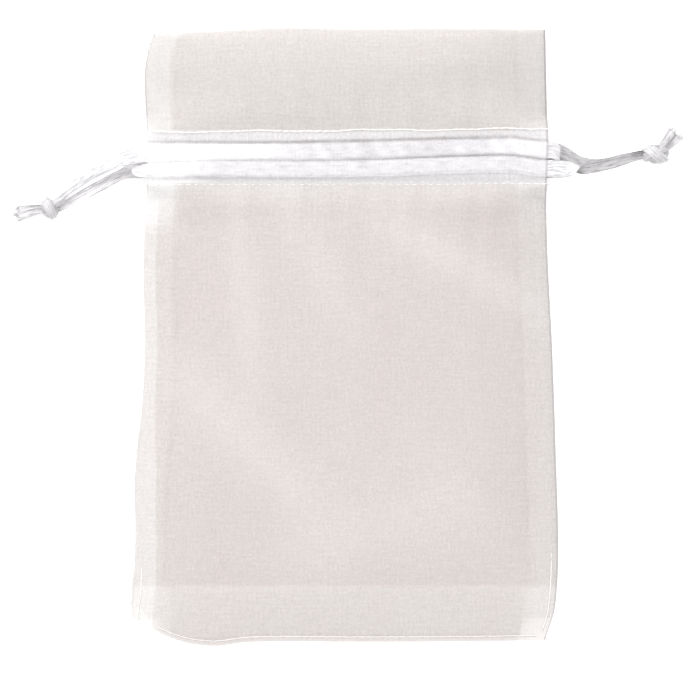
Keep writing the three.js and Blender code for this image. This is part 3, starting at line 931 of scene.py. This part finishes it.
def paleness_and_fold_sheen(x, y):
    """Where the cloth reads paler: over the seams, next to the neck, at the hem and by the
    slit, and on the folds, where the paleness is painted sheen.
    """
    side = "left" if x < 0 else "right"
    inset = abs(side_edge(side, min(y, MOUTH)) - x)
    outer, inner = (0.75, 0.25) if side == "left" else (0.40, 0.30)
    wide = 3.6 + 2.2 * smooth((-15.0 - y) / 25.0)
    band = max(outer * smooth((wide - inset) / 0.7), inner * smooth((7.6 - inset) / 1.0))
    if y > UPPER_STITCH:
        return 0.68 * max(band, (0.65 if side == "left" else 0.3) * smooth(7.0 - inset))
    neck = 0.55 * smooth((y - 30.0) / 8.0)
    hem = 0.38 * smooth((-61.5 - y) / 1.0)
    at_slit = 0.55 * smooth((9.5 - inset) / 4.0) * smooth((y - 23.0) / 9.0)
    if side == "right":
        at_slit *= 0.3
    # The fold term paints sheen on the broad folds.
    return min(1.0, 0.68 * (band + neck * (1 - band) + hem + 0.42 * fold_height(x, y))
               + at_slit)


COLUMNS = 90


def half_x(side, u, y):
    """Across one half, with the grid lines closer together towards the side seam."""
    from_seam = (u if side == "left" else 1 - u) ** 1.6
    return side_edge(side, y) * (1 - from_seam)


def painted_edge_shade(x, y):
    """The rolled edge is several layers seen edge-on and turns away from the light, so
    painted shade draws it as a thin grey line.
    """
    side = "left" if x < 0 else "right"
    inset = abs(side_edge(side, min(y, 2 * MOUTH - y)) - x)
    depth = 0.85 if side == "right" else 0.5 if y > UPPER_STITCH else 0.3
    return depth * smooth((0.6 - inset) / 0.3)


# %% [markdown]
# ### Body panels
#
# The two body panels are single cloth from the lower row of stitching to the bottom seam.
# Each is made as a left and a right half that meet exactly at the middle.

# %% Body panels
BODY_LENGTH, HALF_BODY, BODY_ROWS = 113.6, 51.0, 190
for side in ("left", "right"):
    for layer, node in (("front", "front_panel"), ("back", "back_panel")):
        def body_place(u, v, side=side, layer=layer):
            nominal = lerp(BOTTOM, LOWER_STITCH, v)
            x = half_x(side, u, nominal)
            y = lerp(along(BOTTOM_EDGE, x), LOWER_STITCH, v)
            return (x, y, layer_height(layer, side, x, y, 1 - v)), (x, y)

        panel = cloth_grid(f"{node}_{side}_half", COLUMNS, BODY_ROWS, body_place, sheer,
                           painted_edge_shade, paleness_and_fold_sheen)
        declare_cloth(panel, node)
print("body panels made")

# %% [markdown]
# ### Casing
#
# Between the rows the outer cloth lies over the two ribbons and the facing lies under them,
# front and back alike. The cloth sinks a little between the ribbons and at the stitching. A
# painted shade value darkens the colour where it sinks beside the ribbons, and a pale value
# paints light on the cloth where the ribbons show through.


def painted_gap_shade(x, y):
    """Painted shade in the creases of the casing: between the ribbons and along both of their
    outer edges, where the cloth sinks and little light reaches, with a darker painted patch
    on the lower edge left of the middle and the painted shade of the rolled edges.
    """
    rightward = smooth((x + 40) / 60)
    shift = lane_shift(x)
    middle = bump_at(y, LANE_MIDDLE + 0.1 + shift + 0.1 * math.sin(x * 0.19), 0.42)
    above = bump_at(y, 47.95 + 0.8 * shift + 0.15 * math.sin(x * 0.11 + 1), 0.38)
    above *= 0.35 + 0.65 * smooth((x + 42) / 16)
    below = bump_at(y, 39.1 + shift + 0.12 * math.sin(x * 0.13), 0.36)
    # A darker patch of painted shade along the lower ribbon's edge, left of the middle.
    patch = math.exp(-(((x + 34.7) / 5.0) ** 4)) * bump_at(y, 39.3, 0.55)
    # The painted shade grows and fades along the casing.
    shade_unevenness = 0.68 + 0.22 * math.sin(x * 0.31 + math.sin(x * 0.13) * 2) + 0.10 * math.sin(
        x * 1.7 + y)
    inside = smooth((49.0 - abs(x)) / 10)
    middle *= smooth((x + 44) / 18)
    return min(1.0, (0.12 + 0.46 * rightward) * middle * shade_unevenness + 1.1 * above * shade_unevenness * inside
               + 0.18 * below * shade_unevenness * inside + 0.40 * patch + painted_edge_shade(x, y))


def casing_painted_light(x, y):
    """Painted light on the casing: the cloth over the ribbons is painted paler, most of all
    over the upper ribbon on the left, where it catches the light.
    """
    y = y - lane_shift(x)
    over_upper = between(y, 43.7, 48.0, 0.6)
    over_lower = between(y, 39.5, 43.2, 0.6)
    under = smooth((39.7 - y) / 0.5)
    middle = bump_at(y, 43.45, 0.55) * (0.30 + 0.6 * smooth((-26.0 - x) / 14.0))
    right_end = 0.35 * smooth((x - 28.0) / 14.0)
    leftward = smooth((5.0 - x) / 45.0)
    mottle = 0.5 + 0.25 * math.sin(x * 0.55 + 2 * math.sin(x * 0.17)) + 0.25 * math.sin(
        x * 1.3 + y * 0.9)
    end = smooth((-30.0 - x) / 12.0) * smooth((48.0 - y) / 1.0)
    return min(1.0, over_upper * (0.16 + 0.70 * leftward + 0.45 * mottle + right_end)
               + over_lower * (0.36 + 0.18 * mottle) + 0.55 * under + 0.5 * end + middle
               + 0.42 * smooth((y - 48.2) / 0.5))


for side in ("left", "right"):
    for layer, node, finish in (
            ("front_casing", "front_casing", casing_cloth),
            ("front_facing", "front_casing_facing", casing_cloth),
            ("back_facing", "back_casing_facing", doubled),
            ("back", "back_casing", doubled)):
        def casing_place(u, v, side=side, layer=layer):
            y = lerp(LOWER_STITCH, UPPER_STITCH, v)
            x = half_x(side, u, y)
            return (x, y, layer_height(layer, side, x, y)), (x, y)

        strip = cloth_grid(f"{node}_{side}_half", COLUMNS, 52, casing_place, finish,
                           painted_gap_shade if layer == "front_casing" else painted_edge_shade,
                           casing_painted_light)
        declare_cloth(strip, node)
print("casing layers made")

# %% [markdown]
# ### Header
#
# Above the casing the cloth goes up to the mouth, turns over in a soft fold and comes
# back down inside to the stitching. Each header half is one grid: the outer layer, a few
# rows round the fold and the inner layer.

# %% Header layers
HEADER_HEIGHT, HALF_HEADER = MOUTH - UPPER_STITCH, 49.6
FOLD_SHARE = 0.03
for side in ("left", "right"):
    for face, node in (("front", "front_header"), ("back", "back_header")):
        def header_place(u, v, side=side, face=face):
            outer_part = (1 - FOLD_SHARE) / 2
            if v <= outer_part:
                up, turn, layer = v / outer_part, 0.0, face
            elif v >= 1 - outer_part:
                up, turn, layer = (1 - v) / outer_part, math.pi, face + "_inner"
            else:
                up, turn, layer = 1.0, (v - outer_part) / FOLD_SHARE * math.pi, None
            nominal = lerp(UPPER_STITCH, MOUTH, up)
            x = half_x(side, u, nominal)
            y = lerp(UPPER_STITCH, along(MOUTH_EDGE, x) - 0.4, up)
            outer_z = layer_height(face, side, x, y)
            inner_z = layer_height(face + "_inner", side, x, y)
            if layer is None:
                z = lerp(outer_z, inner_z, (1 - math.cos(turn)) / 2)
                y += 0.4 * math.sin(turn)
            else:
                z = outer_z if layer == face else inner_z
            return (x, y, z), (x, UPPER_STITCH + v * 2 * HEADER_HEIGHT)

        header = cloth_grid(f"{node}_{side}_half", COLUMNS, 134, header_place, doubled,
                            painted_edge_shade, lambda x, y: paleness_and_fold_sheen(x, min(y, 2 * MOUTH - y)))
        declare_cloth(header, node)
print("header layers made")

# %% [markdown]
# ### Seam allowances
#
# Inside each side seam and along the bottom the two cut edges lie together as a narrow
# strip, which shows through the sheer cloth as a paler band. Each is a strip folded in a
# flat V with its fold at the seam.

# %% Seam allowances
SIDE_ALLOWANCE, BOTTOM_ALLOWANCE = 7.0, 12.0


def side_allowance(side, zone, low, high):
    def strip_place(u, v):
        y = lerp(low, high, v)
        edge = side_edge(side, y)
        inward = -1 if side == "right" else 1
        out = abs(2 * u - 1)
        width = SIDE_ALLOWANCE + 0.5 * math.sin(y * 0.13) + 0.25 * math.sin(y * 0.41)
        x = edge + inward * (0.5 + width * out)
        lift = (0.32 if u > 0.5 else 0.0) * smooth(out * 6)
        z = 0.72 + lift + 0.10 * out * math.sin(y * 0.35 + u)
        return (x, y, z), ((2 * u - 1) * SIDE_ALLOWANCE, y)

    strip = cloth_grid(f"{side}_{zone}_seam_allowance", 16, 120, strip_place, pressed)
    declare_cloth(strip, f"{side}_{zone}_allowance")


for side in ("left", "right"):
    side_allowance(side, "header", 53.5, 75.0)
    side_allowance(side, "body", -70.0, 34.5)


def bottom_place(u, v):
    x = lerp(-43.5, 43.5, u)
    out = abs(2 * v - 1)
    low = along(BOTTOM_EDGE, x) + 1.0
    width = BOTTOM_ALLOWANCE + 0.4 * math.sin(x * 0.12) + 0.2 * math.sin(x * 0.5)
    lift = (0.32 if v > 0.5 else 0.0) * smooth(out * 6)
    z = 0.72 + lift + 0.12 * out * math.sin(x * 0.6 + v * 2)
    return (x, low + width * out, z), (x, (2 * v - 1) * BOTTOM_ALLOWANCE)


bottom_strip = cloth_grid("bottom_seam_allowance", 110, 20, bottom_place, pressed)
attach(bottom_strip, "pouch")
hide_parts("bottom_allowance")
print("allowances made")

# %% [markdown]
# ### Stitching
#
# A lockstitch shows on each side of the cloth as a row of short plump beads of thread.
# One stitch is modelled from a small sphere, drawn out along the row, and copied to
# every place with a little unevenness.

# %% One stitch
bpy.ops.object.select_all(action="DESELECT")
bpy.ops.mesh.primitive_uv_sphere_add(segments=8, ring_count=6, radius=0.5,
                                     rotation=(0, math.pi / 2, 0))
bpy.ops.object.transform_apply(location=False, rotation=True, scale=False)
bpy.ops.object.mode_set(mode="EDIT")
bpy.ops.mesh.select_all(action="SELECT")
bpy.ops.transform.resize(value=(1.0, 0.30, 0.24))
bpy.ops.object.mode_set(mode="OBJECT")
stitch = bpy.context.object
stitch_verts = [v.co.copy() for v in stitch.data.vertices]
stitch_faces = []
for polygon in stitch.data.polygons:
    # The sphere's faces come in a different order each time, so they are sorted.
    face = tuple(polygon.vertices)
    first = face.index(min(face))
    stitch_faces.append(face[first:] + face[:first])
stitch_faces.sort()
bpy.data.objects.remove(stitch)
print("one stitch has", len(stitch_faces), "faces")


# %% Rows of stitching
STITCH_PITCH, STITCH_LENGTH, STITCH_WIDTH = 2.0, 2.6, 1.7


def stitch_row(name, node, line, zone, seed, bulk=1.0):
    """Copies of the stitch along a line of points, joined into one piece."""
    chance = random.Random(seed)
    verts, faces = [], []
    travelled, due = 0.0, STITCH_PITCH / 2
    for a, b in zip(line, line[1:]):
        step = (b - a).length
        while travelled + step >= due:
            p = a.lerp(b, (due - travelled) / step)
            forward = (b - a).normalized()
            turn = forward.to_track_quat("X", "Z").to_matrix()
            turn = turn @ Matrix.Rotation(chance.uniform(-0.09, 0.09), 3, "Z")
            size = STITCH_LENGTH * chance.uniform(0.9, 1.06)
            base = len(verts)
            thick = STITCH_WIDTH * bulk
            for co in stitch_verts:
                verts.append(p + turn @ Vector((co.x * size, co.y * thick, co.z * thick)))
            faces += [tuple(base + k for k in f) for f in stitch_faces]
            due += STITCH_PITCH
        travelled += step
    made = mesh_object(name, verts, faces, [thread])
    if zone == "bottom":
        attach(made, "pouch")
    else:
        blend_cloth(made)
    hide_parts(node)
    return made


def top_height(side, x, y):
    """Height of the uppermost layer, whichever zone the point is in."""
    inside_casing = LOWER_STITCH <= y <= UPPER_STITCH
    return layer_height("front_casing" if inside_casing else "front", side, x, y)


made_rows = 0
for side in ("left", "right"):
    sign = -1 if side == "left" else 1
    for face in ("front", "back"):
        for row in ("upper", "lower"):
            points = []
            for k in range(161):
                x = sign * k / 160 * (abs(side_edge(side, SLIT_Y)) - 0.6)
                if row == "upper":
                    y = 50.1 + 0.009 * (x + 50) + 0.16 * math.sin(x * 0.21)
                    y += 0.07 * math.sin(x * 0.53)
                else:
                    y = 37.25 + 0.003 * x + 0.10 * math.sin(x * 0.17 + 1)
                lift = top_height(side, x, y) + (0.05 if row == "upper" else -0.15)
                points.append(Vector((x, y, lift if face == "front" else 0.32)))
            stitch_row(f"{face}_{row}_stitches_{side}_half",
                       f"{face}_{row}_stitching", points, "casing", made_rows,
                       0.85)
            made_rows += 1
    for zone, low, high in (("header", 51.5, 74.5), ("body", -73.0, 36.4)):
        points = []
        for k in range(121):
            y = lerp(low, high, k / 120)
            x = side_edge(side, y) - sign * 1.7
            points.append(Vector((x, y, 1.35 if side == "right" else 1.2)))
        stitch_row(f"{side}_{zone}_seam_stitches", f"{side}_{zone}_seam_stitching", points,
                   zone, made_rows, 0.55)
        made_rows += 1
bottom_line = [Vector((x, along(BOTTOM_EDGE, x) + 1.2, 1.3))
               for x in [lerp(-46.5, 47.5, k / 160) for k in range(161)]]
stitch_row("bottom_seam_stitches", "bottom_seam_stitching", bottom_line, "bottom", 99,
           0.5)
print("stitch rows made", made_rows + 1)

# %% [markdown]
# ## Last update
#
# The scene is brought up to date.

# %% Update the scene
bpy.context.view_layer.update()
